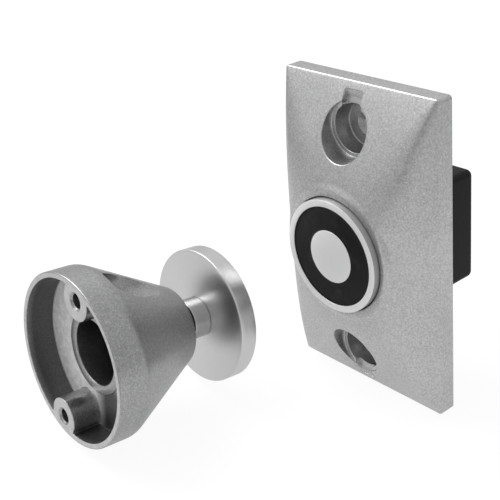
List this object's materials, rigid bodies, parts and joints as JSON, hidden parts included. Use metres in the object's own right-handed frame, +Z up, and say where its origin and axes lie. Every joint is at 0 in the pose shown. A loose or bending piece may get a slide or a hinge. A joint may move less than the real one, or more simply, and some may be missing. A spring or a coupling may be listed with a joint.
{
  "type": "electromagnetic door holder",
  "caption": "Door holder in two units: a wall plate with a round electromagnet and a box behind it, and a conical door unit with a steel disc on a ball swivel.",
  "frame": {"origin": "centre of the wall plate's back plane, on the magnet's axis, half way between the two wall screws", "axes": "+Z up, -Y out of the wall towards the room, +Y into the wall, +X to the right as seen from the room; the door unit lies beside the wall unit, to its left and in front of it"},
  "size_m": [0.1141, 0.1323, 0.1142],
  "materials": {
    "cast_plate": "satin casting, fine sparkle",
    "cast_housing": "satin casting",
    "magnet_steel": "ground and plated",
    "potting": "cast resin, slight gloss",
    "bobbin_nylon": "moulded",
    "enamelled_wire": "enamelled copper",
    "zinc_steel": "zinc plated",
    "black_plastic": "fine texture",
    "board_green": "glass-fibre board",
    "black_epoxy": "moulded epoxy",
    "varistor_coat": "dipped coating",
    "brass_screw": "turned",
    "acetal": "moulded acetal",
    "spring_steel": "dark phosphate",
    "nickel_post": "turned, bright nickel",
    "nickel_disc": "turned, bright nickel"
  },
  "bodies": {
    "root": {"face_plate": "cast_plate", "magnet_pot": "magnet_steel", "magnet_core": "magnet_steel", "coil_bobbin": "bobbin_nylon", "coil_winding": "enamelled_wire", "potting_ring": "potting", "magnet_bracket": "zinc_steel", "bracket_screws": "zinc_steel", "lock_washer": "zinc_steel", "magnet_screw": "zinc_steel", "rear_housing": "black_plastic", "housing_screws": "zinc_steel", "circuit_board": "board_green", "board_screws": "zinc_steel", "rectifier": "black_epoxy", "varistor": "varistor_coat", "terminal_block": "black_plastic", "terminal_clamps": "zinc_steel", "terminal_screws": "brass_screw", "door_housing": "cast_housing", "disc_springs": "spring_steel", "retaining_ring": "spring_steel"},
    "swivel_seats": {"front_seat": "acetal", "rear_seat": "acetal"},
    "armature": {"armature_post": "nickel_post", "armature_disc": "nickel_disc", "disc_screw": "zinc_steel"}
  },
  "joints": [
    {"name": "seat_turn", "type": "hinge", "parent": "root", "child": "swivel_seats", "pos_m": [-0.0484, -0.06744, -0.0286], "axis": [0, 0.993, -0.1185], "continuous": true},
    {"name": "armature_tilt", "type": "hinge", "parent": "swivel_seats", "child": "armature", "pos_m": [-0.0484, -0.06744, -0.0286], "axis": [1, 0, 0], "range_deg": [-6, 6]}
  ]
}
